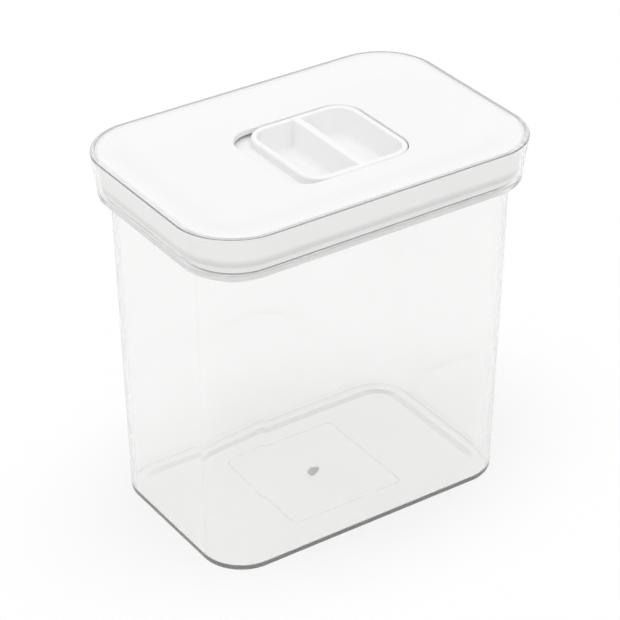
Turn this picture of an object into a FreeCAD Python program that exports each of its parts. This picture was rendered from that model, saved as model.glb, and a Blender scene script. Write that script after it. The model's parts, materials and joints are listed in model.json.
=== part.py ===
"""Clear storage container with a slide-lock lid, as a parametric document in millimetres.

The frame has +Z up and its origin under the middle of the base. The container is a clear moulding with a
flared collar. A white lid drops into the collar, and its plug ring reaches into the neck. A slider in the
lid has inclined slots. At its right-hand end it holds the seal plate up, which squeezes the gasket against
the neck. Slid to the left it lets the seal plate down, the gasket relaxes and the lid lifts off.
"""
import FreeCAD
import Part
import Sketcher
import math
import os
from types import SimpleNamespace
from FreeCAD import Placement, Rotation, Vector

# Driving sizes, in millimetres
SIZES = {
    # Container: rim and collar
    "rim_length": 200.0,
    "rim_width": 135.0,
    "rim_corner_radius": 31.7,
    "body_height": 200.0,
    "collar_height": 24.1,
    "collar_flare": 2.97,
    "collar_wall": 2.5,
    "collar_round": 1.2,
    "rim_round": 1.1,
    "ledge_thickness": 2.9,
    "ledge_round": 0.8,
    # Container: neck, walls and base
    "neck_step": 9.0,
    "neck_corner_radius": 23.1,
    "neck_cove": 1.5,
    "body_lean": 2.73,
    "body_wall": 2.5,
    "floor_thickness": 2.4,
    "floor_round": 1.5,
    "foot_round": 1.8,
    "foot_inset": 7.5,
    "foot_recess": 0.6,
    # Lid cover
    "lid_gap": 0.4,
    "seat_gap": 0.2,
    "lid_round": 2.0,
    "skirt_wall": 2.8,
    "skirt_round": 2.2,
    "plate_thickness": 3.2,
    "dish_inset": 9.5,
    "dish_slope": 12.5,
    "dish_depth": 3.7,
    "dish_crest_round": 26.0,
    "dish_foot_round": 40.0,
    "plug_gap": 0.8,
    "plug_wall": 2.5,
    "plug_depth": 1.5,
    "opening_corner_radius": 15.0,
    "opening_shift": 6.0,
    "opening_round": 0.6,
    "boss_height": 5.0,
    "boss_radius": 3.5,
    # Slider tray
    "slider_length": 63.3,
    "slider_travel": 9.5,
    "slider_side_gap": 0.9,
    "slider_corner_radius": 13.0,
    "slider_round": 1.5,
    "end_gap": 0.9,
    "bar_width": 4.3,
    "pocket_rim": 3.2,
    "pocket_corner_radius": 9.5,
    "pocket_depth": 16.0,
    "pocket_draft": 1.3,
    "pocket_round": 2.75,
    "crest_round": 1.0,
    "tray_floor": 2.0,
    "flange_depth": 4.8,
    "flange_thickness": 2.0,
    "flange_end_lap": 2.75,
    "flange_side_lap": 7.45,
    "flange_corner_radius": 6.0,
    # Cam slots, pins and posts
    "cheek_gap": 1.35,
    "cheek_thickness": 3.0,
    "cheek_margin": 2.6,
    "slot_spacing": 15.0,
    "slot_clearance": 0.2,
    "plate_drop": 1.9,
    "pin_radius": 1.5,
    "pin_fit": 0.02,
    "pin_end_gap": 0.75,
    "pin_height": 8.5,
    "post_gap": 0.4,
    "post_thickness": 3.0,
    "post_length": 8.0,
    "post_head": 2.7,
    "post_round": 1.2,
    # Gasket and seal plate
    "gasket_height": 4.4,
    "gasket_thickness": 5.0,
    "gasket_lip": 0.8,
    "gasket_fit": 0.2,
    "seal_gap": 0.4,
    "seal_plate_gap": 1.0,
    "seal_plate_thickness": 2.2,
    "seal_plate_round": 0.9,
    "locating_wall": 1.8,
    "locating_height": 3.5,
    # Guide rails and their screws
    "rail_length": 110.0,
    "rail_gap": 0.2,
    "rail_side_gap": 0.3,
    "rail_cheek_gap": 0.5,
    "rail_wall_gap": 2.4,
    "rail_web": 3.0,
    "rail_foot_width": 7.0,
    "rail_foot_thickness": 2.0,
    "screw_spacing": 45.0,
    "screw_radius": 1.5,
    "screw_length": 6.5,
    "screw_fit": 0.02,
    "screw_hole_gap": 0.15,
    "screw_head_radius": 2.8,
    "screw_head_height": 1.8,
    # Overrun of every through cut
    "cut_overrun": 1.0,
}
EDGE_TOLERANCE_SHARE = 1e-5

document = FreeCAD.newDocument("slide_lock_container")
sheet = document.addObject("Spreadsheet::Sheet", "sizes")
for row, (alias, number) in enumerate(SIZES.items(), start=1):
    sheet.set(f"A{row}", alias)
    sheet.set(f"B{row}", str(number))
    sheet.setAlias(f"B{row}", alias)
document.recompute()


class Size:
    """A length worked out from the sheet: the expression that binds a property, and its present value."""

    def __init__(self, text, value):
        self.text = text
        self.value = value

    def __add__(self, other):
        other = as_size(other)
        return Size(f"({self.text} + {other.text})", self.value + other.value)

    def __sub__(self, other):
        other = as_size(other)
        return Size(f"({self.text} - {other.text})", self.value - other.value)

    def __mul__(self, other):
        other = as_size(other)
        return Size(f"({self.text} * {other.text})", self.value * other.value)

    def __rmul__(self, other):
        return as_size(other) * self

    def __truediv__(self, other):
        other = as_size(other)
        return Size(f"({self.text} / {other.text})", self.value / other.value)

    def __neg__(self):
        return Size(f"(0 - {self.text})", -self.value)


def as_size(amount):
    """Turns a plain factor into a Size, and leaves a Size as it is."""
    if isinstance(amount, Size):
        return amount
    return Size(str(amount), amount)


ZERO = Size("0", 0.0)
d = SimpleNamespace(**{alias: Size(f"sizes.{alias}", float(sheet.get(alias))) for alias in SIZES})

# Levels and outlines that several pieces share
collar_level = d.body_height - d.collar_height
ledge_level = collar_level + d.ledge_thickness
field_level = d.body_height - d.dish_depth
plate_under = field_level - d.plate_thickness
boss_level = plate_under - d.boss_height
skirt_level = ledge_level + d.seat_gap
plug_level = ledge_level - d.plug_depth
gasket_top = plug_level - d.gasket_fit
gasket_bottom = gasket_top - d.gasket_height
seal_plate_top = gasket_bottom - d.gasket_fit
flange_top = field_level - d.flange_depth
flange_under = flange_top - d.flange_thickness
pin_level = seal_plate_top + d.pin_height
plug_inset = d.body_wall + d.plug_gap
rail_foot_outer = d.rim_width / 2 - d.neck_step - plug_inset - d.plug_wall - d.rail_wall_gap
rail_web_outer = rail_foot_outer - d.rail_foot_width
rail_web_inner = rail_web_outer - d.rail_web
flange_side = rail_web_inner - d.rail_side_gap
opening_side = flange_side - d.flange_side_lap
slider_side = opening_side - d.slider_side_gap
opening_length = d.slider_length + d.slider_travel + 2 * d.end_gap
cheek_inner = slider_side + d.cheek_gap
cheek_outer = cheek_inner + d.cheek_thickness
post_inner = cheek_outer + d.post_gap
post_outer = post_inner + d.post_thickness
rail_under = boss_level - d.rail_foot_thickness
screw_side = rail_web_outer + d.rail_foot_width / 2
screw_places = [
    (d.opening_shift + along * d.screw_spacing, side * screw_side)
    for side in (-1, 1)
    for along in (-1, 0, 1)
]


def rim_outline(inset):
    """Length, width and corner radius of the rim's outline, drawn in by an inset."""
    return d.rim_length - 2 * inset, d.rim_width - 2 * inset, d.rim_corner_radius - inset


def neck_outline(inset):
    """Length, width and corner radius of the neck's outline, drawn in by an inset."""
    length = d.rim_length - 2 * d.neck_step - 2 * inset
    width = d.rim_width - 2 * d.neck_step - 2 * inset
    return length, width, d.neck_corner_radius - inset


def base_outline(inset):
    """The same outline at the base, where the draft of the walls has drawn it in and kept its corners."""
    length, width, radius = neck_outline(inset)
    return length - 2 * d.body_lean, width - 2 * d.body_lean, radius


def flare_at(level):
    """How far the flared collar has drawn in at a level below the rim."""
    return d.collar_flare * ((d.body_height - level) / d.collar_height)


def skirt_inset(level):
    """Inset of the lid's skirt from the rim's outline at a level."""
    return d.collar_wall + d.lid_gap + flare_at(level)


# Sketch helpers
def origin_plane(body, role):
    """Finds one of a body's own origin planes."""
    return next(item for item in body.Origin.OriginFeatures if item.Role == role)


def new_sketch(body, name, role, level):
    """Attaches an empty sketch to an origin plane of the body, raised by a level along its normal."""
    sketch = body.newObject("Sketcher::SketchObject", name)
    sketch.AttachmentSupport = [(origin_plane(body, role), "")]
    sketch.MapMode = "FlatFace"
    sketch.setExpression("AttachmentOffset.Base.z", level.text)
    return sketch


def bind(sketch, kind, references, size):
    """Adds a dimension to a sketch and ties it to the sheet."""
    index = sketch.addConstraint(Sketcher.Constraint(kind, *references, size.value))
    sketch.setExpression(f"Constraints[{index}]", size.text)


def place(sketch, geometry, point, across=None, up=None):
    """Dimensions a point of a sketch from the sketch's origin, along one or both of its axes."""
    for kind, axis, size in (("DistanceX", -2, across), ("DistanceY", -1, up)):
        if size is None:
            continue
        if size.value > 0:
            bind(sketch, kind, (-1, 1, geometry, point), size)
        elif size.value < 0:
            bind(sketch, kind, (geometry, point, -1, 1), -size)
        else:
            sketch.addConstraint(Sketcher.Constraint("PointOnObject", geometry, point, axis))


def add_line(sketch, start, end):
    """Draws a line between two points given as numbers."""
    return sketch.addGeometry(Part.LineSegment(Vector(*start, 0), Vector(*end, 0)))


def add_arc(sketch, middle, radius, first, last):
    """Draws an arc about a middle point, from one angle in degrees to another."""
    circle = Part.Circle(Vector(*middle, 0), Vector(0, 0, 1), radius)
    return sketch.addGeometry(Part.ArcOfCircle(circle, math.radians(first), math.radians(last)))


def join(sketch, kind, pieces):
    """Joins the end of each piece of a closed outline to the start of the next."""
    for piece, following in zip(pieces, pieces[1:] + pieces[:1]):
        sketch.addConstraint(Sketcher.Constraint(kind, piece, 2, following, 1))


def draw_rounded_rectangle(sketch, left, right, front, rear, radius):
    """Draws a rectangle with four equal round corners between four sides."""
    x0, x1, y0, y1, r = left.value, right.value, front.value, rear.value, radius.value
    pieces = [
        add_line(sketch, (x0 + r, y0), (x1 - r, y0)),
        add_arc(sketch, (x1 - r, y0 + r), r, 270, 360),
        add_line(sketch, (x1, y0 + r), (x1, y1 - r)),
        add_arc(sketch, (x1 - r, y1 - r), r, 0, 90),
        add_line(sketch, (x1 - r, y1), (x0 + r, y1)),
        add_arc(sketch, (x0 + r, y1 - r), r, 90, 180),
        add_line(sketch, (x0, y1 - r), (x0, y0 + r)),
        add_arc(sketch, (x0 + r, y0 + r), r, 180, 270),
    ]
    join(sketch, "Tangent", pieces)
    for piece in (pieces[0], pieces[4]):
        sketch.addConstraint(Sketcher.Constraint("Horizontal", piece))
    for piece in (pieces[2], pieces[6]):
        sketch.addConstraint(Sketcher.Constraint("Vertical", piece))
    for piece in pieces[3::2]:
        sketch.addConstraint(Sketcher.Constraint("Equal", pieces[1], piece))
    place(sketch, pieces[0], 1, up=front)
    place(sketch, pieces[2], 1, across=right)
    place(sketch, pieces[4], 1, up=rear)
    place(sketch, pieces[6], 1, across=left)
    bind(sketch, "Radius", (pieces[1],), radius)


def draw_polygon(sketch, points):
    """Draws a closed outline of straight lines through points given as sizes."""
    numbers = [(across.value, up.value) for across, up in points]
    pieces = [add_line(sketch, a, b) for a, b in zip(numbers, numbers[1:] + numbers[:1])]
    join(sketch, "Coincident", pieces)
    for piece, (across, up) in zip(pieces, points):
        place(sketch, piece, 1, across, up)


def draw_circle(sketch, across, up, radius):
    """Draws a circle about a point given as sizes."""
    circle = Part.Circle(Vector(across.value, up.value, 0), Vector(0, 0, 1), radius.value)
    piece = sketch.addGeometry(circle)
    place(sketch, piece, 3, across, up)
    bind(sketch, "Radius", (piece,), radius)


def draw_slot(sketch, start, end, radius):
    """Draws a slanted slot with round ends about two points given as sizes."""
    (xa, ya), (xb, yb) = [(across.value, up.value) for across, up in (start, end)]
    r = radius.value
    slant = math.degrees(math.atan2(yb - ya, xb - xa))
    away = (-r * math.sin(math.radians(slant)), r * math.cos(math.radians(slant)))
    pieces = [
        add_arc(sketch, (xa, ya), r, slant + 90, slant + 270),
        add_line(sketch, (xa - away[0], ya - away[1]), (xb - away[0], yb - away[1])),
        add_arc(sketch, (xb, yb), r, slant - 90, slant + 90),
        add_line(sketch, (xb + away[0], yb + away[1]), (xa + away[0], ya + away[1])),
    ]
    join(sketch, "Tangent", pieces)
    sketch.addConstraint(Sketcher.Constraint("Equal", pieces[0], pieces[2]))
    place(sketch, pieces[0], 3, *start)
    place(sketch, pieces[2], 3, *end)
    bind(sketch, "Radius", (pieces[0],), radius)


def draw_finger_outline(sketch, near, far, half_width, radius, turn):
    """Draws a pocket outline: square corners on the near side and round ones on the far side.

    A turn of -1 draws the same outline turned by half a turn about the origin.
    """
    n, f, w, r = [turn * size.value for size in (near, far, half_width, radius)]
    start_angle = 0 if turn > 0 else 180
    pieces = [
        add_line(sketch, (n, -w), (f - r, -w)),
        add_arc(sketch, (f - r, r - w), abs(r), start_angle - 90, start_angle),
        add_line(sketch, (f, r - w), (f, w - r)),
        add_arc(sketch, (f - r, w - r), abs(r), start_angle, start_angle + 90),
        add_line(sketch, (f - r, w), (n, w)),
        add_line(sketch, (n, w), (n, -w)),
    ]
    for first, kind in enumerate(("Tangent", "Tangent", "Tangent", "Tangent", "Coincident", "Coincident")):
        following = pieces[(first + 1) % len(pieces)]
        sketch.addConstraint(Sketcher.Constraint(kind, pieces[first], 2, following, 1))
    for piece in (pieces[0], pieces[4]):
        sketch.addConstraint(Sketcher.Constraint("Horizontal", piece))
    for piece in (pieces[2], pieces[5]):
        sketch.addConstraint(Sketcher.Constraint("Vertical", piece))
    sketch.addConstraint(Sketcher.Constraint("Equal", pieces[1], pieces[3]))
    place(sketch, pieces[0], 1, up=-turn * half_width)
    place(sketch, pieces[4], 2, up=turn * half_width)
    place(sketch, pieces[5], 1, across=turn * near)
    place(sketch, pieces[2], 1, across=turn * far)
    bind(sketch, "Radius", (pieces[1],), radius)


def draw_outline(sketch, outline):
    """Draws a rounded rectangle about the sketch's origin from its length, width and corner radius."""
    length, width, radius = outline
    draw_rounded_rectangle(sketch, -length / 2, length / 2, -width / 2, width / 2, radius)


def outline_sketch(body, name, level, *outlines):
    """Sketches one rounded rectangle, or a ring of two, at a level."""
    sketch = new_sketch(body, name, "XY_Plane", level)
    for outline in outlines:
        draw_outline(sketch, outline)
    return sketch


# Feature helpers
def new_body(name):
    """Starts a sub-part that is built up from features."""
    body = document.addObject("PartDesign::Body", name)
    body.Label = name
    return body


def loft(body, name, lower, upper, cut=False):
    """Joins two outlines by straight walls, as added material or as a cut."""
    feature = body.newObject("PartDesign::SubtractiveLoft" if cut else "PartDesign::AdditiveLoft", name)
    feature.Profile = lower
    feature.Sections = [upper]
    feature.Ruled = True
    document.recompute()
    return feature


def pad(body, name, sketch, length, backward=False, both_ways=False):
    """Raises a sketch by a length along its normal, against it, or half each way."""
    feature = body.newObject("PartDesign::Pad", name)
    feature.Profile = sketch
    feature.Reversed = backward
    feature.Midplane = both_ways
    feature.setExpression("Length", length.text)
    document.recompute()
    return feature


def pocket(body, name, sketch, depth, along_normal=False, both_ways=False):
    """Cuts a sketch into the body against its normal, along it, or half each way, and checks the cut."""
    document.recompute()
    before = body.Tip.Shape.Volume
    feature = body.newObject("PartDesign::Pocket", name)
    feature.Profile = sketch
    feature.Reversed = along_normal
    feature.Midplane = both_ways
    feature.setExpression("Length", depth.text)
    document.recompute()
    if feature.Shape.Volume >= before:
        raise RuntimeError(f"{body.Label}: {name} cut nothing")
    return feature


def lies_on(edge, sketch):
    """Tells whether an edge runs along a sketch's outline."""
    reach = EDGE_TOLERANCE_SHARE * d.rim_length.value
    first, last = edge.ParameterRange
    points = [edge.valueAt(first + share * (last - first)) for share in (0.1, 0.5, 0.9)]
    return all(sketch.Shape.distToShape(Part.Vertex(point))[0] < reach for point in points)


def fillet(body, name, radius, sketches):
    """Rounds the edges of the body that run along the given sketches."""
    document.recompute()
    base = body.Tip
    edges = [
        f"Edge{index}"
        for index, edge in enumerate(base.Shape.Edges, start=1)
        if any(lies_on(edge, sketch) for sketch in sketches)
    ]
    feature = body.newObject("PartDesign::Fillet", name)
    feature.Base = (base, edges)
    feature.setExpression("Radius", radius.text)
    document.recompute()
    return feature


def make_container_body():
    """Clear moulding: drafted walls, a flared collar with a ledge inside, and a recessed foot."""
    body = new_body("container_body")
    foot = outline_sketch(body, "foot_outline", ZERO, base_outline(ZERO))
    neck = outline_sketch(body, "neck_outline", collar_level, neck_outline(ZERO))
    loft(body, "walls", foot, neck)
    collar = outline_sketch(body, "collar_outline", collar_level, rim_outline(d.collar_flare))
    rim = outline_sketch(body, "rim_outline", d.body_height, rim_outline(ZERO))
    loft(body, "collar", collar, rim)
    floor = outline_sketch(body, "floor_outline", d.floor_thickness, base_outline(d.body_wall))
    mouth = outline_sketch(body, "mouth_outline", ledge_level, neck_outline(d.body_wall))
    loft(body, "cavity", floor, mouth, cut=True)
    ledge_inset = d.collar_wall + flare_at(ledge_level)
    ledge = outline_sketch(body, "ledge_outline", ledge_level, rim_outline(ledge_inset))
    rim_inside = outline_sketch(body, "rim_inside", d.body_height, rim_outline(d.collar_wall))
    loft(body, "lid_seat", ledge, rim_inside, cut=True)
    recess = outline_sketch(body, "recess_outline", ZERO, base_outline(d.foot_inset))
    pocket(body, "foot_recess", recess, d.foot_recess, along_normal=True)
    fillet(body, "floor_rounding", d.floor_round, [floor])
    fillet(body, "foot_rounding", d.foot_round, [foot])
    fillet(body, "collar_rounding", d.collar_round, [collar])
    fillet(body, "cove_under_collar", d.neck_cove, [neck])
    fillet(body, "mouth_rounding", d.ledge_round, [mouth])
    fillet(body, "rim_rounding", d.rim_round, [rim, rim_inside])
    return body


def make_lid_cover():
    """White moulding: dished top plate, flared skirt, plug ring, slider opening and screw bosses."""
    body = new_body("lid_cover")
    skirt = outline_sketch(body, "skirt_outline", skirt_level, rim_outline(skirt_inset(skirt_level)))
    top = outline_sketch(body, "top_outline", d.body_height, rim_outline(skirt_inset(d.body_height)))
    loft(body, "skirt_block", skirt, top)
    hollow_low = rim_outline(skirt_inset(skirt_level) + d.skirt_wall)
    hollow_high = rim_outline(skirt_inset(plate_under) + d.skirt_wall)
    hollow_bottom = outline_sketch(body, "hollow_bottom", skirt_level, hollow_low)
    hollow_top = outline_sketch(body, "hollow_top", plate_under, hollow_high)
    loft(body, "skirt_hollow", hollow_bottom, hollow_top, cut=True)
    field_outline = rim_outline(d.dish_inset + d.dish_slope)
    field = outline_sketch(body, "field_outline", field_level, field_outline)
    crest = outline_sketch(body, "crest_outline", d.body_height, rim_outline(d.dish_inset))
    loft(body, "dish", field, crest, cut=True)
    border_faces = [hollow_high, rim_outline(d.dish_inset)]
    border = outline_sketch(body, "border_hollow_outline", plate_under, *border_faces)
    pocket(body, "border_hollow", border, d.dish_depth, along_normal=True)
    fillet(body, "dish_crest_rounding", d.dish_crest_round, [crest])
    fillet(body, "dish_foot_rounding", d.dish_foot_round, [field])
    plug = outline_sketch(
        body, "plug_outline", plug_level, neck_outline(plug_inset), neck_outline(plug_inset + d.plug_wall)
    )
    pad(body, "plug_ring", plug, plate_under - plug_level)
    opening = new_sketch(body, "opening_outline", "XY_Plane", field_level)
    left = d.opening_shift - opening_length / 2
    right = d.opening_shift + opening_length / 2
    draw_rounded_rectangle(opening, left, right, -opening_side, opening_side, d.opening_corner_radius)
    pocket(body, "opening", opening, d.plate_thickness + d.cut_overrun)
    bosses = new_sketch(body, "boss_outlines", "XY_Plane", boss_level)
    for along, side in screw_places:
        draw_circle(bosses, along, side, d.boss_radius)
    pad(body, "bosses", bosses, d.boss_height)
    pilots = new_sketch(body, "pilot_outlines", "XY_Plane", boss_level)
    for along, side in screw_places:
        draw_circle(pilots, along, side, d.screw_radius + d.screw_fit)
    pocket(body, "pilot_holes", pilots, d.screw_length - d.rail_foot_thickness + d.screw_hole_gap, True)
    fillet(body, "lid_rounding", d.lid_round, [top])
    fillet(body, "skirt_rounding", d.skirt_round, [skirt])
    fillet(body, "opening_rounding", d.opening_round, [opening])
    return body


def make_slider_tray():
    """White moulding: two finger pockets beside a pinch bar, a flange, and two cheeks with cam slots."""
    body = new_body("slider_tray")
    tray_height = d.pocket_depth + d.tray_floor
    outline = (d.slider_length, 2 * slider_side, d.slider_corner_radius)
    tray = outline_sketch(body, "tray_outline", field_level, outline)
    pad(body, "tray_block", tray, tray_height, backward=True)
    flange_length = opening_length + d.slider_travel + 2 * d.flange_end_lap
    flange_outline = (flange_length, 2 * flange_side, d.flange_corner_radius)
    flange = outline_sketch(body, "flange_outline", flange_under, flange_outline)
    pad(body, "flange", flange, d.flange_thickness)
    slot_radius = d.pin_radius + d.slot_clearance
    slot_low = pin_level - d.plate_drop
    cheek_low = slot_low - slot_radius - d.cheek_margin
    half_travel = d.slider_travel / 2
    cheek_end = d.slot_spacing + half_travel + slot_radius + d.cheek_margin
    cheek = new_sketch(body, "cheek_outline", "XZ_Plane", cheek_inner)
    corners = [(-1, cheek_low), (1, cheek_low), (1, flange_under), (-1, flange_under)]
    draw_polygon(cheek, [(side * cheek_end, level) for side, level in corners])
    for side in (-1, 1):
        middle = side * d.slot_spacing
        draw_slot(cheek, (middle - half_travel, pin_level), (middle + half_travel, slot_low), slot_radius)
    front_cheek = pad(body, "front_cheek", cheek, d.cheek_thickness)
    rear_cheek = body.newObject("PartDesign::Mirrored", "rear_cheek")
    rear_cheek.Originals = [front_cheek]
    rear_cheek.MirrorPlane = (origin_plane(body, "XZ_Plane"), [""])
    body.Tip = rear_cheek
    brims = []
    floors = []
    pocket_floor = field_level - d.pocket_depth
    half_width = slider_side - d.pocket_rim
    far = d.slider_length / 2 - d.pocket_rim
    for turn, side in ((1, "right"), (-1, "left")):
        brim = new_sketch(body, f"{side}_pocket_brim", "XY_Plane", field_level)
        draw_finger_outline(brim, d.bar_width / 2, far, half_width, d.pocket_corner_radius, turn)
        floor = new_sketch(body, f"{side}_pocket_floor", "XY_Plane", pocket_floor)
        draw_finger_outline(
            floor,
            d.bar_width / 2 + d.pocket_draft,
            far - d.pocket_draft,
            half_width - d.pocket_draft,
            d.pocket_corner_radius - d.pocket_draft,
            turn,
        )
        loft(body, f"{side}_pocket", floor, brim, cut=True)
        brims.append(brim)
        floors.append(floor)
    fillet(body, "pocket_rounding", d.pocket_round, floors)
    fillet(body, "crest_rounding", d.crest_round, brims)
    fillet(body, "tray_rounding", d.slider_round, [tray])
    body.setExpression("Placement.Base.x", (d.opening_shift + half_travel).text)
    return body


def make_gasket():
    """Silicone ring with two rounded lips, carried round the neck above the seal plate."""
    body = new_body("gasket")
    outer = d.body_wall + d.seal_gap
    path = outline_sketch(body, "gasket_path", gasket_bottom, neck_outline(outer + d.gasket_thickness))
    profile = new_sketch(body, "gasket_profile", "XZ_Plane", ZERO)
    inner_face = d.rim_length / 2 - d.neck_step - outer - d.gasket_thickness
    lip_root = inner_face + d.gasket_thickness - d.gasket_lip
    gasket_middle = gasket_bottom + d.gasket_height / 2
    levels = [gasket_bottom, gasket_middle, gasket_top]
    inner, root = inner_face.value, lip_root.value
    heights = [level.value for level in levels]
    pieces = [add_line(profile, (inner, heights[0]), (root, heights[0]))]
    for low, high in zip(heights, heights[1:]):
        lip_tip = Vector(root + d.gasket_lip.value, (low + high) / 2, 0)
        arc = Part.Arc(Vector(root, low, 0), lip_tip, Vector(root, high, 0))
        pieces.append(profile.addGeometry(arc))
    pieces.append(add_line(profile, (root, heights[2]), (inner, heights[2])))
    pieces.append(add_line(profile, (inner, heights[2]), (inner, heights[0])))
    join(profile, "Coincident", pieces)
    place(profile, pieces[0], 1, inner_face, levels[0])
    for piece, level in zip(pieces[1:4], levels):
        place(profile, piece, 1, lip_root, level)
    place(profile, pieces[4], 1, inner_face, levels[2])
    half_chord = d.gasket_height / 4
    lip_radius = (d.gasket_lip * d.gasket_lip + half_chord * half_chord) / (2 * d.gasket_lip)
    for lip in pieces[1:3]:
        bind(profile, "Radius", (lip,), lip_radius)
    ring = body.newObject("PartDesign::AdditivePipe", "lipped_ring")
    ring.Profile = profile
    ring.Spine = (path, [])
    document.recompute()
    return body


def make_seal_plate():
    """Bottom of the lid: a plate with a wall that locates the gasket and four posts for the cam pins."""
    body = new_body("seal_plate")
    plate_edge = neck_outline(d.body_wall + d.seal_plate_gap)
    plate = outline_sketch(body, "plate_outline", seal_plate_top, plate_edge)
    pad(body, "plate", plate, d.seal_plate_thickness, backward=True)
    wall_inset = d.body_wall + d.seal_gap + d.gasket_thickness + d.gasket_fit
    wall_faces = [neck_outline(wall_inset), neck_outline(wall_inset + d.locating_wall)]
    wall = outline_sketch(body, "wall_outline", seal_plate_top, *wall_faces)
    pad(body, "locating_wall", wall, d.locating_height)
    posts = new_sketch(body, "post_outlines", "XY_Plane", seal_plate_top)
    half_post = d.post_length / 2
    for along in (-1, 1):
        middle = d.opening_shift + along * d.slot_spacing
        for near, far in ((-post_outer, -post_inner), (post_inner, post_outer)):
            ends = (middle - half_post, middle + half_post)
            draw_polygon(posts, [(ends[0], near), (ends[1], near), (ends[1], far), (ends[0], far)])
    pad(body, "posts", posts, d.pin_height + d.post_head)
    holes = new_sketch(body, "pin_holes_outline", "XZ_Plane", ZERO)
    for along in (-1, 1):
        draw_circle(holes, d.opening_shift + along * d.slot_spacing, pin_level, d.pin_radius + d.pin_fit)
    pocket(body, "pin_holes", holes, 2 * (post_outer + d.cut_overrun), both_ways=True)
    fillet(body, "post_feet", d.post_round, [posts])
    lower_edge = outline_sketch(body, "lower_edge", seal_plate_top - d.seal_plate_thickness, plate_edge)
    fillet(body, "plate_rounding", d.seal_plate_round, [lower_edge])
    return body


def make_guide_rail(name, half_turn):
    """Rail for one side of the slider's flange: a bead below it, a web beside it and a screwed foot."""
    body = new_body(name)
    bead_inner = cheek_outer + d.rail_cheek_gap
    bead_top = flange_under - d.rail_gap
    profile = new_sketch(body, "rail_profile", "YZ_Plane", ZERO)
    draw_polygon(profile, [
        (bead_inner, rail_under),
        (rail_foot_outer, rail_under),
        (rail_foot_outer, boss_level),
        (rail_web_outer, boss_level),
        (rail_web_outer, plate_under),
        (rail_web_inner, plate_under),
        (rail_web_inner, bead_top),
        (bead_inner, bead_top),
    ])
    pad(body, "rail", profile, d.rail_length, both_ways=True)
    holes = new_sketch(body, "screw_holes_outline", "XY_Plane", rail_under)
    for along in (-1, 0, 1):
        draw_circle(holes, along * d.screw_spacing, screw_side, d.screw_radius + d.screw_hole_gap)
    pocket(body, "screw_holes", holes, d.rail_foot_thickness + d.cut_overrun, along_normal=True)
    body.Placement = Placement(Vector(d.opening_shift.value, 0, 0), Rotation(Vector(0, 0, 1), half_turn))
    body.setExpression("Placement.Base.x", d.opening_shift.text)
    return body


def new_cylinder(name, radius, height, turn, places):
    """Adds a cylinder turned about X, with its size and its place tied to the sheet."""
    cylinder = document.addObject("Part::Cylinder", name)
    cylinder.Label = name
    cylinder.setExpression("Radius", radius.text)
    cylinder.setExpression("Height", height.text)
    cylinder.Placement = Placement(Vector(0, 0, 0), Rotation(Vector(1, 0, 0), turn))
    for axis, size in zip("xyz", places):
        cylinder.setExpression(f"Placement.Base.{axis}", size.text)
    return cylinder


def make_cam_pins():
    """Four steel pins through the posts, with their inner ends in the slots of the slider's cheeks."""
    pin_length = post_outer - slider_side - d.pin_end_gap
    pins = []
    for along, end in ((-1, "left"), (1, "right")):
        for side, face in ((-1, "front"), (1, "rear")):
            middle = d.opening_shift + along * d.slot_spacing
            places = (middle, side * post_outer, pin_level)
            pins.append(new_cylinder(f"cam_pin_{face}_{end}", d.pin_radius, pin_length, side * 90, places))
    return pins


def make_rail_screws():
    """Six short screws, each a head below the rail's foot and a shank up into a boss of the lid."""
    screws = []
    for number, (along, side) in enumerate(screw_places, start=1):
        head_place = (along, side, rail_under - d.screw_head_height)
        head = new_cylinder(f"screw_head_{number}", d.screw_head_radius, d.screw_head_height, 0, head_place)
        shank = new_cylinder(
            f"screw_shank_{number}", d.screw_radius, d.screw_length, 0, (along, side, rail_under)
        )
        screw = document.addObject("Part::Fuse", f"screw_{number}")
        screw.Base = head
        screw.Tool = shank
        screws.append(screw)
    group = document.addObject("Part::Compound", "rail_screws")
    group.Label = "rail_screws"
    group.Links = screws
    return [group]


def check(sub_parts):
    """Stops if any object of the document failed, or a sub-part has no sound solid."""
    for item in document.Objects:
        if "Invalid" in item.State or "Error" in item.State:
            raise RuntimeError(f"{item.Label} did not compute: {item.State}")
    for sub_part in sub_parts:
        shape = sub_part.Shape
        if shape.isNull() or not shape.isValid() or not shape.Solids:
            raise RuntimeError(f"{sub_part.Label} has no sound solid")


sub_parts = [
    make_container_body(),
    make_lid_cover(),
    make_slider_tray(),
    make_gasket(),
    make_seal_plate(),
    make_guide_rail("guide_rail_front", 180),
    make_guide_rail("guide_rail_rear", 0),
    *make_cam_pins(),
    *make_rail_screws(),
]
document.recompute()
check(sub_parts)
os.makedirs("parts", exist_ok=True)
for sub_part in sub_parts:
    shape = sub_part.Shape
    shape.exportStep(f"parts/{sub_part.Label}.step")
    print(f"{sub_part.Label}: {len(shape.Solids)} solid(s), {shape.Volume:.0f} mm3")
print(f"slider {2 * slider_side.value:.2f} mm wide in an opening {2 * opening_side.value:.2f} mm wide")
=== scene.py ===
# %% [markdown]
# # A clear kitchen container with a white slide-lock lid
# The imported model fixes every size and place. This lesson dresses it: it draws the big mouldings again
# as smooth surfaces, gives each piece its finish, and sets the light and the camera. All lengths are
# written in millimetres and become metres only when a mesh is made.

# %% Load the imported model
import json
import bpy
import numpy as np
from mathutils import Matrix, Vector


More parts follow.
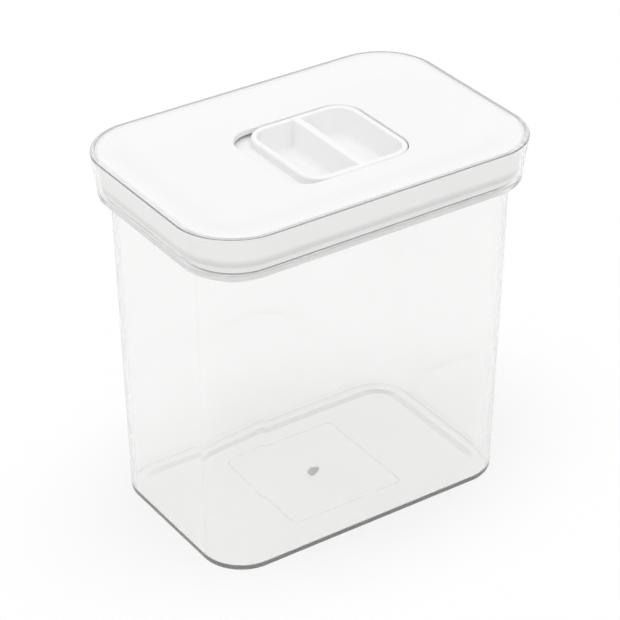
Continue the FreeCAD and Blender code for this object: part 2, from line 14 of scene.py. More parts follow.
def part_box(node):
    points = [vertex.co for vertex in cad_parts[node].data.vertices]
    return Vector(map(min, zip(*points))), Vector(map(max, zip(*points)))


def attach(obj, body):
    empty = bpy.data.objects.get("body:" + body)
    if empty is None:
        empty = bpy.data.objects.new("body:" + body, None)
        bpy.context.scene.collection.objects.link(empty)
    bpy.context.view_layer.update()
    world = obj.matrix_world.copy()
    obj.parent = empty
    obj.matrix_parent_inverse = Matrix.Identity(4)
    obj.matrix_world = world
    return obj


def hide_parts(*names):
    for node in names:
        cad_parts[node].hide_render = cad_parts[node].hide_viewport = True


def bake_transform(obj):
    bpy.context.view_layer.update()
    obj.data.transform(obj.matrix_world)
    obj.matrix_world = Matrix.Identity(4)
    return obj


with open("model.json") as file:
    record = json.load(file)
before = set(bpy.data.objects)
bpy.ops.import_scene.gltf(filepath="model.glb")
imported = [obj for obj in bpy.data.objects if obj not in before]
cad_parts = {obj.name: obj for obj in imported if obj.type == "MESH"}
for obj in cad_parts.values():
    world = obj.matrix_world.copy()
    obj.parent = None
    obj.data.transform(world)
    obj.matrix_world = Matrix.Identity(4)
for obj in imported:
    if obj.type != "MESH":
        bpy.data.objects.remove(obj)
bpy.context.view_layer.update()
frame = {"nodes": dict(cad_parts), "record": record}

MM = 0.001


# %% [markdown]
# ## Outlines that the mouldings share
# Seen from above, nearly every piece is a rectangle with four round corners. An outline is written as
# half its length, half its width, its corner radius and the place of its middle along X. A step inwards
# takes the same amount off the first three, so a family of outlines follows from one of them. The walls
# of the body lean in towards the foot and keep the corner radius of the neck on the way.

# %% Outlines and levels
RIM = (100.0, 67.5, 31.7, 0.0)
NECK = (91.0, 58.5, 23.1, 0.0)
BODY_LEAN = 2.73
FOOT = (NECK[0] - BODY_LEAN, NECK[1] - BODY_LEAN, NECK[2], 0.0)
WALL = 2.5
COLLAR_WALL = 2.5
COLLAR_FLARE = 2.97
COLLAR_HEIGHT = 24.1
LEDGE_THICKNESS = 2.9

TOP = round(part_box("container_body")[1].z / MM, 3)
COLLAR_UNDER = TOP - COLLAR_HEIGHT
LEDGE = COLLAR_UNDER + LEDGE_THICKNESS


def flare(level):
    """How far the sloping collar has drawn in at a level: its whole flare times the share of its height."""
    return COLLAR_FLARE * (TOP - level) / COLLAR_HEIGHT


print(f"collar from {COLLAR_UNDER:.1f} to {TOP:.1f} mm, ledge at {LEDGE:.1f} mm")

# %% [markdown]
# ## From a profile to a surface
# Each moulding is a profile carried round an outline. The profile is a short list of corners, and real
# mouldings have no sharp ones, so every corner becomes an arc. A bevel modifier could do that too, but
# its width would change wherever the mesh is dense; worked out on the profile, it is exact all round.

# %% Profiles with round corners
ARC_STEPS = 8
GUARD = 0.3
GUARD_SHARE = 0.3
SAME_PLACE = 1e-4
TINY = 1e-9


def corner(outline, inset, level, fillet=0.0):
    """One corner of a profile: an outline drawn in by an inset, its level and the radius that rounds it.

    The row holds the half length and the level, then what the half width and the corner radius are less
    than the half length, the middle along X, and the rounding.
    """
    half_x, half_y, radius, middle = outline
    return half_x - inset, level, half_x - half_y, half_x - radius, middle, fillet


def legs(rows, closed):
    """The steps that lead to each corner and on from it. An open profile's ends repeat the step they have."""
    back = rows - np.roll(rows, 1, axis=0)
    onward = np.roll(rows, -1, axis=0) - rows
    if not closed:
        back[0], onward[-1] = onward[0], back[-1]
    return back, onward


def soften(corners, closed=False):
    """Rounds a profile's corners.

    An arc of radius r that turns by an angle T starts r tan(T / 2) before its corner. A turn of a along it
    has moved r sin(a) forwards and r (1 - cos(a)) to the side. A guard point before and after each arc keeps
    flat stretches flat under smooth shading. The shape of the outline changes evenly along each stretch.
    """
    rows = np.array(corners, float)
    radius = rows[:, 5:]
    back, onward = legs(rows, closed)
    back_length = np.linalg.norm(back[:, :2], axis=1, keepdims=True)
    onward_length = np.linalg.norm(onward[:, :2], axis=1, keepdims=True)
    into, away = back[:, :2] / back_length, onward[:, :2] / onward_length
    cosine = np.clip((into * away).sum(axis=1, keepdims=True), -1, 1)
    turn = np.arccos(cosine)
    side = (away - cosine * into) / np.maximum(np.sin(turn), TINY)

    reach = radius * np.tan(turn / 2)
    back_flat = np.maximum(back_length - reach - np.roll(reach, 1, axis=0), 0)
    onward_flat = np.maximum(onward_length - reach - np.roll(reach, -1, axis=0), 0)
    start = -reach - np.minimum(GUARD, GUARD_SHARE * back_flat)
    end = reach + np.minimum(GUARD, GUARD_SHARE * onward_flat)
    angle = turn * np.linspace(0, 1, ARC_STEPS + 1)
    forwards = np.hstack([start, radius * np.sin(angle) - reach, end * cosine])
    sideways = np.hstack([0 * start, radius * (1 - np.cos(angle)), end * np.sin(turn)])
    place = rows[:, None, :2] + forwards[..., None] * into[:, None] + sideways[..., None] * side[:, None]

    travel = np.hstack([start, reach * np.linspace(-1, 1, ARC_STEPS + 1), end])
    back_share = np.minimum(travel, 0) / back_length
    onward_share = np.maximum(travel, 0) / onward_length
    change = back_share[..., None] * back[:, None, 2:5] + onward_share[..., None] * onward[:, None, 2:5]
    path = np.concatenate([place, rows[:, None, 2:5] + change], axis=2).reshape(-1, 5)
    if not closed:
        path = path[1:-1]
    gaps = np.linalg.norm(path[:, :2] - np.roll(path[:, :2], 1, axis=0), axis=1)
    return path[gaps > SAME_PLACE]


# %% [markdown]
# A round-cornered rectangle is easiest to sample as four corner circles: each sample has a circle's middle,
# given as a share of the rectangle, and a direction from it. On the straight sides the direction stays and
# the middle slides from one circle to the next. The same samples serve every outline, so rings always match.

# %% Rings round an outline
CORNER_STEPS = 40
SIDE_STEPS = 10


def ring_samples():
    """Middles, as shares of the rectangle, and directions of the samples round a round-cornered rectangle."""
    signs = np.array([(1, -1), (1, 1), (-1, 1), (-1, -1)], float)[:, None]
    turn = np.radians(90 * np.arange(-1, 3)[:, None] + np.linspace(0, 90, CORNER_STEPS + 1))
    arcs = np.stack([np.cos(turn), np.sin(turn)], axis=-1)
    slide = np.linspace(0, 1, SIDE_STEPS + 1)[1:-1, None]
    sides = signs + slide * (np.roll(signs, -1, axis=0) - signs)
    middles = np.concatenate([np.broadcast_to(signs, arcs.shape), sides], axis=1)
    directions = np.concatenate([arcs, np.broadcast_to(arcs[:, -1:], sides.shape)], axis=1)
    return middles.reshape(-1, 2), directions.reshape(-1, 2)


MIDDLES, DIRECTIONS = ring_samples()


def rings(path):
    """Carries a profile round its outlines.

    A point is its middle's share of the half sizes less the corner radius, plus its direction times the
    corner radius, moved along X with the outline's middle and lifted to the profile's level.
    """
    half = np.stack([path[:, 0], path[:, 0] - path[:, 2]], axis=-1)[:, None]
    radius = np.clip(path[:, 0] - path[:, 3], 0, half.min(axis=(1, 2)))[:, None, None]
    flat = MIDDLES * (half - radius) + DIRECTIONS * radius
    flat[..., 0] += path[:, 4:5]
    level = np.broadcast_to(path[:, 1][:, None, None], flat.shape[:2] + (1,))
    return np.concatenate([flat, level], axis=2)


print("samples round each ring:", len(MIDDLES))

# %% [markdown]
# Four-sided faces join each ring to the next. A skin either closes on itself like a tyre, which suits the lid
# and the gasket, or is drawn together to a pole at each end like a bag, which suits the body.

# %% Skins and pieces
def skin(grid, poles=None):
    """Vertices and faces of a grid of rings, joined end to end or drawn together to two poles.

    Sample s of ring r has the number r times the samples in a ring plus s, so a face joins the numbers of
    s and s + 1 on one ring to the same two on the next.
    """
    count, around = grid.shape[:2]
    ring = np.arange(count if poles is None else count - 1)[:, None] * around
    above = (ring + around) % (count * around)
    step = np.arange(around)
    ahead = (step + 1) % around
    quads = np.stack([ring + step, ring + ahead, above + ahead, above + step], axis=-1)
    vertices = grid.reshape(-1, 3)
    faces = quads.reshape(-1, 4).tolist()
    if poles is not None:
        first, last = len(vertices), len(vertices) - around
        faces += np.column_stack([np.full(around, first), ahead, step]).tolist()
        faces += np.column_stack([np.full(around, first + 1), last + step, last + ahead]).tolist()
        vertices = np.vstack([vertices, poles])
    return vertices, faces


def new_piece(name, vertices, faces):
    """Makes one smooth mesh object, in metres, out of vertices in millimetres and faces."""
    mesh = bpy.data.meshes.new(name)
    mesh.from_pydata((vertices * MM).tolist(), [], faces)
    mesh.polygons.foreach_set("use_smooth", np.ones(len(faces), bool))
    mesh.update()
    piece = bpy.data.objects.new(name, mesh)
    bpy.context.scene.collection.objects.link(piece)
    print(f"{name}: {len(vertices)} vertices, {len(faces)} faces")
    return piece


# %% [markdown]
# ## The clear body
# It is one injection moulding: a tall drafted box whose walls, floor and flared collar are all about 2.5 mm
# thick, with a ledge inside the collar. Light bends at both faces of every wall, so the inside has to be
# modelled as well as the outside. One profile runs from under the base, up the outside, over the rim and
# down the inside to the floor. Where it passes from one outline to another on a flat stretch, each outline
# is held for a short way so that the arcs stay true.

# %% Clear body
FOOT_INSET = 7.5
FOOT_ROUND = 1.8
FOOT_RECESS = 0.6
RECESS_SLOPE = 5.0
RECESS_ROUND = 12.0
FLOOR = 2.1
FLOOR_ROUND = 1.5
FLAT_INSET = 12.0
HOLD = 2.0
NECK_ROUND = 1.5
COLLAR_ROUND = 1.2
RIM_ROUND = 0.7
RIM_INNER_ROUND = 0.3
LEDGE_ROUND = 0.4
MOUTH_ROUND = 0.8

ledge_inset = COLLAR_WALL + flare(LEDGE)
body_profile = [
    corner(FOOT, FOOT_INSET + FLAT_INSET, FOOT_RECESS),
    corner(FOOT, FOOT_INSET + RECESS_SLOPE, FOOT_RECESS, RECESS_ROUND),
    corner(FOOT, FOOT_INSET, 0, RECESS_ROUND),
    corner(FOOT, 0, 0, FOOT_ROUND),
    corner(NECK, 0, COLLAR_UNDER, NECK_ROUND),
    corner(NECK, -HOLD, COLLAR_UNDER),
    corner(RIM, COLLAR_FLARE + HOLD, COLLAR_UNDER),
    corner(RIM, COLLAR_FLARE, COLLAR_UNDER, COLLAR_ROUND),
    corner(RIM, 0, TOP, RIM_ROUND),
    corner(RIM, COLLAR_WALL, TOP, RIM_INNER_ROUND),
    corner(RIM, ledge_inset, LEDGE, LEDGE_ROUND),
    corner(RIM, ledge_inset + HOLD, LEDGE),
    corner(NECK, WALL - HOLD, LEDGE),
    corner(NECK, WALL, LEDGE, MOUTH_ROUND),
    corner(FOOT, WALL, FLOOR, FLOOR_ROUND),
    corner(FOOT, WALL + FLAT_INSET, FLOOR),
]
body_poles = [(0, 0, FOOT_RECESS), (0, 0, FLOOR)]
clear_body = new_piece("clear_body", *skin(rings(soften(body_profile)), body_poles))

# %% [markdown]
# Under the base the mould leaves two small marks that show through the clear floor: a thin raised line in
# the shape of a square, and the stub where the plastic flowed in. Both are low ridges, so they are separate
# closed skins just below the floor's underside. The stub was torn off, so a few sine waves make it lobed.

# %% Marks under the base
MARK = (34.2, 34.2, 4.0, 0.0)
MARK_WIDTH = 0.9
MARK_HEIGHT = 0.25
MARK_ROUND = 0.15
MARK_GAP = 0.01
ROOT_ROUND = 0.05
GATE = (3.2, 3.2, 3.2, 0.0)
GATE_HEIGHT = 0.5
GATE_WALL = 0.3
GATE_TAPER = 1.6
GATE_CORE = 2.4
GATE_LOBES = ((2, 0.28, 0.6), (3, 0.1, 2.0), (5, 0.08, 0.3))

mark_top = FOOT_RECESS - MARK_GAP
mark_under = mark_top - MARK_HEIGHT
mark_profile = [
    corner(MARK, 0, mark_under, MARK_ROUND),
    corner(MARK, 0, mark_top, ROOT_ROUND),
    corner(MARK, MARK_WIDTH, mark_top, ROOT_ROUND),
    corner(MARK, MARK_WIDTH, mark_under, MARK_ROUND),
]
base_frame = new_piece("base_frame_mark", *skin(rings(soften(mark_profile, closed=True))))

gate_under = mark_top - GATE_HEIGHT
gate_profile = [
    corner(GATE, GATE_CORE, gate_under),
    corner(GATE, GATE_TAPER, gate_under, MARK_ROUND),
    corner(GATE, 0, mark_top - GATE_WALL, MARK_ROUND),
    corner(GATE, 0, mark_top, ROOT_ROUND),
    corner(GATE, GATE_CORE, mark_top),
]
gate_rings = rings(soften(gate_profile))
bearing = np.arctan2(gate_rings[..., 1], gate_rings[..., 0])
lobed = 1 + sum(depth * np.sin(lobes * bearing + turn) for lobes, depth, turn in GATE_LOBES)
gate_rings[..., :2] *= lobed[..., None]
gate_mark = new_piece("base_gate_mark", *skin(gate_rings, [(0, 0, gate_under), (0, 0, mark_top)]))

# %% [markdown]
# ## The white lid
# The lid drops into the collar until its skirt meets the ledge. Its top is flush with the rim at the border
# and sinks in a slow S to a flat field, where the slider's opening is. Inside hangs the plug ring that
# centres it in the neck. The profile goes all the way round the section, from the skirt over the top, through
# the opening and back along the underside, so the lid is one closed skin like a ring.

# %% Lid
LID_GAP = 0.2
LID_ROUND = 2.0
SEAT_GAP = 0.2
SKIRT_WALL = 2.8
SKIRT_CHAMFER = 2.0
CHAMFER_RISE = 3.6
CHAMFER_ROUND = 3.0
SKIRT_FOOT_ROUND = 0.3
DISH_INSET = 9.5
DISH_SLOPE = 12.5
DISH_CREST_ROUND = 26.0
DISH_FOOT_ROUND = 40.0
DISH_DEPTH = 3.7
FIELD_INSET = 29.5
PLATE_THICKNESS = 3.2
OPENING = (37.3, 32.55, 15.0, 6.0)
OPENING_ROUND = 0.6
PLUG_GAP = 0.8
PLUG_WALL = 2.5
PLUG_DROP = 1.5
INNER_ROUND = 0.5

FIELD = TOP - DISH_DEPTH
PLATE_UNDER = FIELD - PLATE_THICKNESS
PLUG_INSET = WALL + PLUG_GAP
PLUG_LEVEL = LEDGE - PLUG_DROP
skirt_level = LEDGE + SEAT_GAP
chamfer_level = skirt_level + CHAMFER_RISE
border_under = TOP - PLATE_THICKNESS
lid_inset = COLLAR_WALL + LID_GAP
skirt_inner = lid_inset + SKIRT_WALL
plug_inner = PLUG_INSET + PLUG_WALL
lid_profile = [
    corner(RIM, lid_inset + SKIRT_CHAMFER + flare(skirt_level), skirt_level, SKIRT_FOOT_ROUND),
    corner(RIM, lid_inset + flare(chamfer_level), chamfer_level, CHAMFER_ROUND),
    corner(RIM, lid_inset, TOP, LID_ROUND),
    corner(RIM, DISH_INSET, TOP, DISH_CREST_ROUND),
    corner(RIM, DISH_INSET + DISH_SLOPE, FIELD, DISH_FOOT_ROUND),
    corner(RIM, FIELD_INSET, FIELD),
    corner(OPENING, -HOLD, FIELD),
    corner(OPENING, 0, FIELD, OPENING_ROUND),
    corner(OPENING, 0, PLATE_UNDER, INNER_ROUND),
    corner(OPENING, -HOLD, PLATE_UNDER),
    corner(NECK, plug_inner + HOLD, PLATE_UNDER),
    corner(NECK, plug_inner, PLATE_UNDER, INNER_ROUND),
    corner(NECK, plug_inner, PLUG_LEVEL, INNER_ROUND),
    corner(NECK, PLUG_INSET, PLUG_LEVEL, INNER_ROUND),
    corner(NECK, PLUG_INSET, PLATE_UNDER, INNER_ROUND),
    corner(NECK, PLUG_INSET - HOLD / 2, PLATE_UNDER),
    corner(RIM, DISH_INSET + HOLD / 2, PLATE_UNDER),
    corner(RIM, DISH_INSET, PLATE_UNDER, INNER_ROUND),
    corner(RIM, DISH_INSET, border_under, INNER_ROUND),
    corner(RIM, skirt_inner + flare(border_under), border_under, INNER_ROUND),
    corner(RIM, skirt_inner + flare(skirt_level), skirt_level, SKIRT_FOOT_ROUND),
]
lid = new_piece("lid_top", *skin(rings(soften(lid_profile, closed=True))))

# %% [markdown]
# ## The gasket
# A soft silicone ring lies between the plug ring and the seal plate. Squeezed, its two rounded lips bulge
# against the neck. Each lip is half a sine wave on the ring's outer face, which is simpler than arcs and
# just as smooth.

# %% Gasket
GASKET_GAP = 0.4
GASKET_THICKNESS = 5.0
GASKET_LIP = 0.8
GASKET_SEAT = 0.2
LIP_COUNT = 2
LIP_FULLNESS = 0.8
LIP_SAMPLES = 33
BACK_SAMPLES = 9

GASKET_INSET = WALL + GASKET_GAP
GASKET_TOP = PLUG_LEVEL - GASKET_SEAT
GASKET_UNDER = round(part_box("gasket")[0].z / MM, 3)
climb = np.linspace(0, 1, LIP_SAMPLES)
descent = np.linspace(1, 0, BACK_SAMPLES)
wave = np.abs(np.sin(LIP_COUNT * np.pi * climb)) ** LIP_FULLNESS
outer_inset = GASKET_INSET + GASKET_LIP * (1 - wave)
inner_inset = np.full(descent.shape, GASKET_INSET + GASKET_THICKNESS)
gasket_inset = np.concatenate([outer_inset, inner_inset])
gasket_level = GASKET_UNDER + (GASKET_TOP - GASKET_UNDER) * np.concatenate([climb, descent])
gasket_path = np.column_stack(np.broadcast_arrays(*corner(NECK, gasket_inset, gasket_level)[:5]))
gasket_ring = new_piece("gasket_ring", *skin(rings(gasket_path)))

# %% [markdown]
# ## Who carries what
# The new pieces of the body ride on the container's body and the lid rides on the lid's, and the imported
# nodes of these mouldings are hidden. The gasket is left where it was drawn, and the imported gasket is
# hidden.

# %% Bodies and stand-ins
BLEND_MARGIN = 0.5

for piece in (clear_body, base_frame, gate_mark):
    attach(piece, "container")
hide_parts("container_body")
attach(lid, "lid")
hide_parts("lid_cover")
(GASKET_TOP - BLEND_MARGIN) * MM
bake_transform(gasket_ring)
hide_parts("gasket")

# %% [markdown]
# ## Shader maths as plain sums
# A finish is a small sum: a base plus a little noise. Written with nodes, each plus sign is a Math node and
# two links. This class wraps a socket, so that an ordinary Python expression adds those nodes by itself.

# %% Signals
class Signal:
    """One socket of a node tree. Sums, products and powers of signals and numbers add Math nodes."""

    def __init__(self, tree, socket=None):
        self.tree = tree
        self.socket = socket

    def node(self, kind, settings=None, inputs=None, output=0):
        """Adds a node, sets its properties first and then its sockets, and returns one of its outputs."""
        added = self.tree.nodes.new(kind)
        for name, setting in (settings or {}).items():
            setattr(added, name, setting)
        feed(added, inputs or {})
        return Signal(self.tree, added.outputs[output])

    def math(self, operation, first, second):
        """Adds one Math node that joins two signals or numbers."""
        return self.node("ShaderNodeMath", {"operation": operation}, {0: first, 1: second})

    def __add__(self, other):
        return self.math("ADD", self, other)

    def __radd__(self, other):
        return self.math("ADD", other, self)

    def __sub__(self, other):
        return self.math("SUBTRACT", self, other)

    def __rsub__(self, other):
        return self.math("SUBTRACT", other, self)

    def __mul__(self, other):
        return self.math("MULTIPLY", self, other)

    def __rmul__(self, other):
        return self.math("MULTIPLY", other, self)

    def __pow__(self, other):
        return self.math("POWER", self, other)

    def __rpow__(self, other):
        return self.math("POWER", other, self)


def feed(node, inputs):
    """Links the signals among the inputs to a node's sockets and sets the plain values on them."""
    for name, amount in inputs.items():
        if isinstance(amount, Signal):
            amount.tree.links.new(amount.socket, node.inputs[name])
        else:
            node.inputs[name].default_value = amount


# %% [markdown]
# A handful of recipes recur in every finish: noise placed by the object's own coordinates, a colour between
# two others, a bump, a band between two heights, and a mix of two shaders.

# %% Recipes for finishes
def new_finish(name):
    """A fresh material, its object coordinates as a signal, and its main shader node."""
    material = bpy.data.materials.new(name)
    material.use_nodes = True
    place = Signal(material.node_tree).node("ShaderNodeTexCoord", output="Object")
    return material, place, material.node_tree.nodes["Principled BSDF"]


def noise(place, scale, detail=2.0, roughness=0.5):
    """Soft noise with a number of cells to the metre, from 0 to 1."""
    inputs = {"Vector": place, "Scale": scale, "Detail": detail, "Roughness": roughness}
    return place.node("ShaderNodeTexNoise", {"noise_dimensions": "3D"}, inputs)


def between(share, first, second):
    """A colour that goes from one to another with a share; each is three numbers or a signal."""
    ends = [colour if isinstance(colour, Signal) else (*colour, 1) for colour in (first, second)]
    inputs = {"Factor": share, 6: ends[0], 7: ends[1]}
    return share.node("ShaderNodeMix", {"data_type": "RGBA"}, inputs, output=2)


def bump(height, strength, distance):
    """A bump of a height signal, to feed a Normal socket; the distance is in metres."""
    return height.node("ShaderNodeBump", {}, {"Height": height, "Strength": strength, "Distance": distance})


def ramp(signal, start, end, low=0.0, high=1.0):
    """A smooth step of a signal: low up to the start, high from the end on."""
    inputs = {"Value": signal, "From Min": start, "From Max": end, "To Min": low, "To Max": high}
    return signal.node("ShaderNodeMapRange", {"interpolation_type": "SMOOTHSTEP"}, inputs)


def height_of(place):
    """The height of a place: its Z."""
    return place.node("ShaderNodeSeparateXYZ", {}, {0: place}, output="Z")


def height_band(place, low, high, blur):
    """1 between two levels and 0 outside them, with soft ends; levels and blur are in millimetres."""
    height = height_of(place)
    above_low = ramp(height, (low - blur) * MM, (low + blur) * MM)
    above_high = ramp(height, (high - blur) * MM, (high + blur) * MM)
    return above_low - above_high


def mixed(share, first, second):
    """Two shaders mixed, with a share of the second."""
    return share.node("ShaderNodeMixShader", {}, {0: share, 1: first, 2: second})


def ray_kinds(start, *kinds):
    """1 for rays of the kinds named and 0 for others."""
    flags = [start.node("ShaderNodeLightPath", output=kind) for kind in kinds]
    return start.node("ShaderNodeClamp", {}, {"Value": sum(flags[1:], flags[0])})


# %% [markdown]
# ## Finishes
# The clear body is a polished, water-clear plastic. Its faces are not perfectly alike: the flow of the melt
# and handling leave faint hazy patches, which change the roughness a little. Thick sections look greyer than
# thin walls because light is absorbed on its way, so the inside has a weak absorption. The rim and the
# collar's foot also scatter some light, which keeps them grey where perfect glass would turn black. Rays that
# only carry light pass straight through, tinted, because a traced shadow would treat the walls as solid.
# A band on the rim's outer side is painted shade: its colour greys the rounded edge into a dark line.

# %% Clear plastic
PLASTIC_IOR = 1.53
CLEAR = (0.99, 0.99, 0.988)
# A grey: the tone of the hazy patches and of the torn stub, and the colour of the painted dark line of shade
# on the rim.
GREY_TONE_AND_RIM_SHADE = (0.4, 0.4, 0.4)
PAST_TOP = TOP + 5.0
# Levels of the painted dark line of shade on the rim's outer side.
RIM_SHADE_LEVELS = (TOP - 1.7, TOP - 0.35, 0.2)
RIM_ARC = (TOP - 1.0, PAST_TOP, 0.3)
RIM_FLAT = (TOP - 0.08, PAST_TOP, 0.05)
COLLAR_FOOT = (COLLAR_UNDER - 0.5, LEDGE - 0.5, 0.3)


def clear_plastic():
    """Clear plastic: nearly full transmission, milky edges, hazy patches, a painted dark line of shade on the
    rim's side and a weak absorption inside.
    """
    material, place, shader = new_finish("clear_plastic_finish")
    haze = noise(place, 26.0, 3.0)
    fine = noise(place, 420.0)
    feed(shader, {
        # Colour: a little greyer in hazy patches, and painted shade on the rim's outer side, a dark line.
        "Base Color": between(0.03 * haze + 0.1 * height_band(place, *RIM_SHADE_LEVELS), CLEAR, GREY_TONE_AND_RIM_SHADE),
        "Roughness": 0.006 + 0.03 * haze * fine,
        "IOR": PLASTIC_IOR,
        "Transmission Weight": 0.95,
    })
    milky_rim = 0.15 * height_band(place, *RIM_ARC) + 0.3 * height_band(place, *RIM_FLAT)
    milky_share = milky_rim + 0.35 * height_band(place, *COLLAR_FOOT)
    milky = place.node("ShaderNodeBsdfDiffuse", {}, {"Color": (0.95, 0.95, 0.948, 1)})
    tint = place.node("ShaderNodeBsdfTransparent", {}, {"Color": (0.97, 0.97, 0.968, 1)})
    clear = mixed(milky_share, Signal(place.tree, shader.outputs[0]), milky)
    light_rays = ray_kinds(place, "Is Shadow Ray", "Is Diffuse Ray")
    absorption = {"Color": (0.86, 0.86, 0.85, 1), "Density": 18.0}
    feed(material.node_tree.nodes["Material Output"], {
        "Surface": mixed(light_rays, clear, tint),
        "Volume": place.node("ShaderNodeVolumeAbsorption", {}, absorption),
    })
    return material


clear_finish = clear_plastic()
for piece in (clear_body, base_frame):
    piece.data.materials.append(clear_finish)

# %% [markdown]
# The stub under the base is the same plastic where it was torn off the runner: rough, lumpy and greyer.

# %% Torn plastic
def torn_plastic():
    """The torn stub: one noise makes it lumpy and rough, and greyer where it rises."""
    material, place, shader = new_finish("torn_plastic_finish")
    lumps = noise(place, 700.0, 3.0)
    feed(shader, {
        "Base Color": between(lumps, (0.9, 0.9, 0.895), GREY_TONE_AND_RIM_SHADE),
        "Roughness": 0.25 + 0.4 * lumps,
        "Normal": bump(lumps, 1.0, 0.0006),
        "IOR": PLASTIC_IOR,
        "Transmission Weight": 0.8,
    })
    return material


gate_mark.data.materials.append(torn_plastic())

# %% [markdown]
# The lid and the slider are white plastic with a fine moulded texture: matt enough to hide fingerprints,
# with a soft sheen. A very fine bump breaks the highlights, and slow noise keeps the white from being one
# flat number. Little light gets down between the skirt and the collar, and the rays that carry light pass
# the clear plastic here, so that shade is painted into the lid's colour: a grey band of painted shade just
# above the skirt's foot.

# %% White plastics
# Painted shade on the lid's skirt: its grey, and the heights above the skirt's foot where it starts, peaks
# and ends.
SKIRT_SHADE_GREY = (0.45, 0.45, 0.447)
SKIRT_SHADE_RISES = (3.3, 5.0, 9.5)


def painted_skirt_shade(place):
    """The painted shade on the skirt: 1 at its peak and 0 at the two levels where it ends."""
    low, peak, high = [(skirt_level + rise) * MM for rise in SKIRT_SHADE_RISES]
    height = height_of(place)
    return ramp(height, low, peak) - ramp(height, peak, high)


def white_plastic(name, light, shade, gloss, grain, skirt_shade=0.0):
    """Moulded white: slow mottling between two whites, a roughness that varies with it, a fine grain and,
    when asked, a band of painted shade low on the skirt.
    """
    material, place, shader = new_finish(name)
    mottle = noise(place, 14.0, 3.0)
    texture = noise(place, 1900.0, 2.0, 0.6)
    colour = between(mottle, light, shade)
    # Painted shade: a grey band low on the skirt, where little light gets down between the skirt and the
    # collar.
    if skirt_shade:
        colour = between(skirt_shade * painted_skirt_shade(place), colour, SKIRT_SHADE_GREY)
    feed(shader, {
        "Base Color": colour,
        "Roughness": gloss + 0.08 * mottle + 0.06 * texture,
        "Normal": bump(texture, grain, 0.00004),
        "IOR": 1.49,
    })
    return material


# The lid's white carries the painted shade on its skirt.
lid_white_and_painted_shade = white_plastic("lid_white_and_painted_shade_finish", (0.94, 0.94, 0.937), (0.92, 0.92, 0.918), 0.34, 0.25, skirt_shade=0.52)
slider_finish = white_plastic("slider_white_finish", (0.955, 0.955, 0.952), (0.94, 0.94, 0.938), 0.26, 0.12)
inner_finish = white_plastic("inner_white_finish", (0.91, 0.91, 0.905), (0.88, 0.88, 0.875), 0.48, 0.4)
rail_finish = white_plastic("rail_grey_finish", (0.70, 0.71, 0.71), (0.64, 0.65, 0.65), 0.42, 0.3)
lid.data.materials.append(lid_white_and_painted_shade)

# %% [markdown]
# Silicone is softer to look at than the hard plastics: light goes a little way in, and dust gives it a
# dry bloom.

# %% Silicone
def silicone():
    """White silicone: light scatters inside, and a dusty bloom varies the colour and the roughness."""
    material, place, shader = new_finish("silicone_finish")
    bloom = noise(place, 60.0, 4.0)
    feed(shader, {
        "Base Color": between(bloom, (0.90, 0.90, 0.895), (0.85, 0.85, 0.845)),
        "Roughness": 0.5 + 0.2 * bloom,
        "Normal": bump(noise(place, 900.0), 0.3, 0.00005),
        "Subsurface Weight": 0.3,
        "Subsurface Radius": (0.004, 0.004, 0.004),
    })
    return material


gasket_ring.data.materials.append(silicone())

# %% [markdown]
# The cam pins and the screws are small turned parts of steel. Grinding leaves fine lines along them, so the
# same noise is squeezed across one axis or another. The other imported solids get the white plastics.

# %% Steel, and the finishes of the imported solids
def ground_steel(name, stretch):
    """Ground steel: fine lines across the grinding direction, drawn as noise squeezed along one axis."""
    material, place, shader = new_finish(name)
    squeezed = place.node("ShaderNodeMapping", {}, {"Vector": place, "Scale": stretch})
    lines = noise(squeezed, 300.0, 3.0, 0.7)
    feed(shader, {
        "Base Color": between(lines, (0.72, 0.72, 0.73), (0.58, 0.58, 0.59)),
        "Roughness": 0.2 + 0.2 * lines,
        "Metallic": 1.0,
        "Normal": bump(lines, 0.2, 0.00003),
    })
    return material


finish_of_slot = {
    "slider_white": slider_finish,
    "inner_white": inner_finish,
    "rail_grey": rail_finish,
    "pin_steel": ground_steel("pin_steel_finish", (8.0, 0.6, 8.0)),
    "screw_steel": ground_steel("screw_steel_finish", (6.0, 6.0, 0.8)),
}
for row in frame["record"]["subparts"]:
    if row["material_slot"] in finish_of_slot:
        frame["nodes"][row["node"]].material_slots[0].material = finish_of_slot[row["material_slot"]]
print("finishes of the packed solids:", sorted(finish.name for finish in finish_of_slot.values()))

# %% [markdown]
# ## Floor, light and camera
# The container stands in a white studio. The floor shows as plain white to the camera and through the clear
# walls, but keeps part of the shading that falls on it near the container, so that it still stands on
# something. How far a point is from the container is measured in footprints, so the shading fades evenly.

# %% Floor
FLOOR_REACH = 4000.0
FLOOR_GAP = 0.02
GLOW_NEAR, GLOW_FAR = 0.26, 0.95
GLOW_FROM, GLOW_TO = 0.9, 2.4
SEEN_RAYS = ("Is Camera Ray", "Is Glossy Ray", "Is Transmission Ray")

floor_corners = np.array([(-1, -1), (1, -1), (1, 1), (-1, 1)], float) * FLOOR_REACH
floor_points = np.column_stack([floor_corners, np.full(len(floor_corners), -FLOOR_GAP)])
studio_floor = new_piece("studio_floor", floor_points, [[0, 1, 2, 3]])

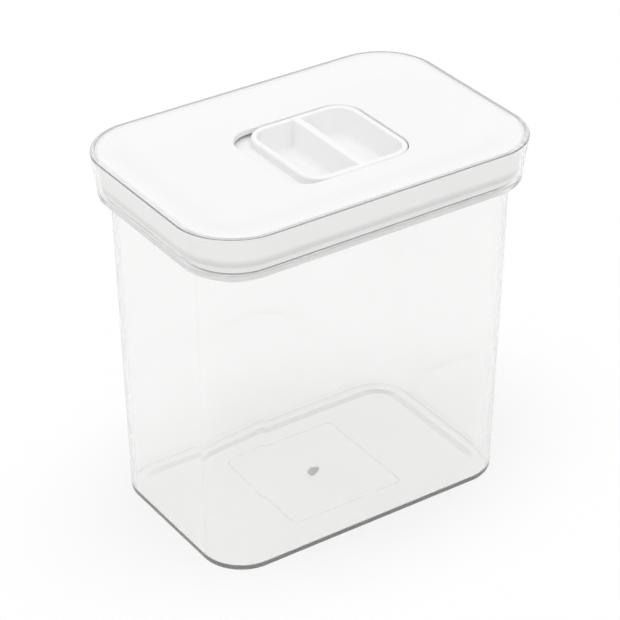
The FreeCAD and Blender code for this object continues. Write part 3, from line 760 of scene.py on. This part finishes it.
floor_finish, place, shader = new_finish("studio_floor_finish")
feed(shader, {
    "Base Color": between(noise(place, 3.0), (0.97, 0.97, 0.97), (0.95, 0.95, 0.95)),
    "Roughness": 0.9,
})
per_footprint = (1 / (FOOT[0] * MM), 1 / (FOOT[1] * MM), 0)
footprints = place.node("ShaderNodeVectorMath", {"operation": "MULTIPLY"}, {0: place, 1: per_footprint})
away = place.node("ShaderNodeVectorMath", {"operation": "LENGTH"}, {0: footprints}, output="Value")
glow_share = ray_kinds(place, *SEEN_RAYS) * ramp(away, GLOW_FROM, GLOW_TO, GLOW_NEAR, GLOW_FAR)
glow = place.node("ShaderNodeEmission", {}, {"Color": (1, 1, 1, 1), "Strength": 1.0})
floor_surface = mixed(glow_share, Signal(place.tree, shader.outputs[0]), glow)
feed(floor_finish.node_tree.nodes["Material Output"], {"Surface": floor_surface})
studio_floor.data.materials.append(floor_finish)

# %% [markdown]
# The light is a large soft sky, brighter overhead, with a broad glow from the upper left where a photographer
# would hang a soft box. The camera and the clear pieces see plain white in its place.

# %% World
SKY_LOW, SKY_HIGH = 0.64, 0.92
KEY_TOWARDS = Vector((-0.3, -0.35, 0.88)).normalized()
KEY_STRENGTH = 0.75
KEY_FOCUS = 5.0

world = bpy.data.worlds.new("white_studio")
world.use_nodes = True
bpy.context.scene.world = world
sky = Signal(world.node_tree).node("ShaderNodeTexCoord", output="Generated")
overhead = sky.node("ShaderNodeClamp", {}, {"Value": height_of(sky)})
towards_key = {0: sky, 1: KEY_TOWARDS}
facing = sky.node("ShaderNodeVectorMath", {"operation": "DOT_PRODUCT"}, towards_key, output="Value")
key = sky.node("ShaderNodeClamp", {}, {"Value": facing}) ** KEY_FOCUS
brightness = SKY_LOW + (SKY_HIGH - SKY_LOW) * overhead + KEY_STRENGTH * key
studio_light = sky.node("ShaderNodeBackground", {}, {"Color": brightness, "Strength": 1.0})
white_wall = sky.node("ShaderNodeBackground", {}, {"Color": (1, 1, 1, 1), "Strength": 1.0})
backdrop = mixed(ray_kinds(sky, *SEEN_RAYS), studio_light, white_wall)
feed(world.node_tree.nodes["World Output"], {"Surface": backdrop})
print(f"sky from {SKY_LOW} to {SKY_HIGH}, key {KEY_STRENGTH}")

# %% [markdown]
# The camera was fitted to the outlines of the rim and the collar in the photograph: a long lens from the
# front left, looking down by about 32 degrees. Its axes follow from the azimuth, the elevation and a very
# small roll.

# %% Camera
LENS = 145.341
SENSOR = 36.0
AZIMUTH, ELEVATION, ROLL = np.radians([-34.0675, 31.6484, -0.13])
DISTANCE = 1283.177
TARGET = np.array([-0.6, 0.399, 101.249])

level_right = np.array([np.cos(AZIMUTH), np.sin(AZIMUTH), 0.0])
level_front = np.array([np.sin(AZIMUTH), -np.cos(AZIMUTH), 0.0])
toward_camera = np.cos(ELEVATION) * level_front + np.sin(ELEVATION) * np.array([0.0, 0.0, 1.0])
level_up = np.cross(toward_camera, level_right)
pose = np.eye(4)
pose[:3, 0] = np.cos(ROLL) * level_right + np.sin(ROLL) * level_up
pose[:3, 1] = np.cos(ROLL) * level_up - np.sin(ROLL) * level_right
pose[:3, 2] = toward_camera
pose[:3, 3] = (TARGET + DISTANCE * toward_camera) * MM

camera_data = bpy.data.cameras.new("photo_camera")
camera_data.lens = LENS
camera_data.sensor_width = SENSOR
camera = bpy.data.objects.new("photo_camera", camera_data)
camera.matrix_world = Matrix(pose.tolist())
bpy.context.scene.collection.objects.link(camera)
bpy.context.scene.camera = camera
bpy.context.scene.view_settings.view_transform = "Standard"
print("camera at, mm:", np.round(pose[:3, 3] / MM, 1).tolist())

# %% [markdown]
# ## Bringing the scene up to date
# The dressed model has to stay in the box of the imported one.

# %% Update the scene
bpy.context.view_layer.update()
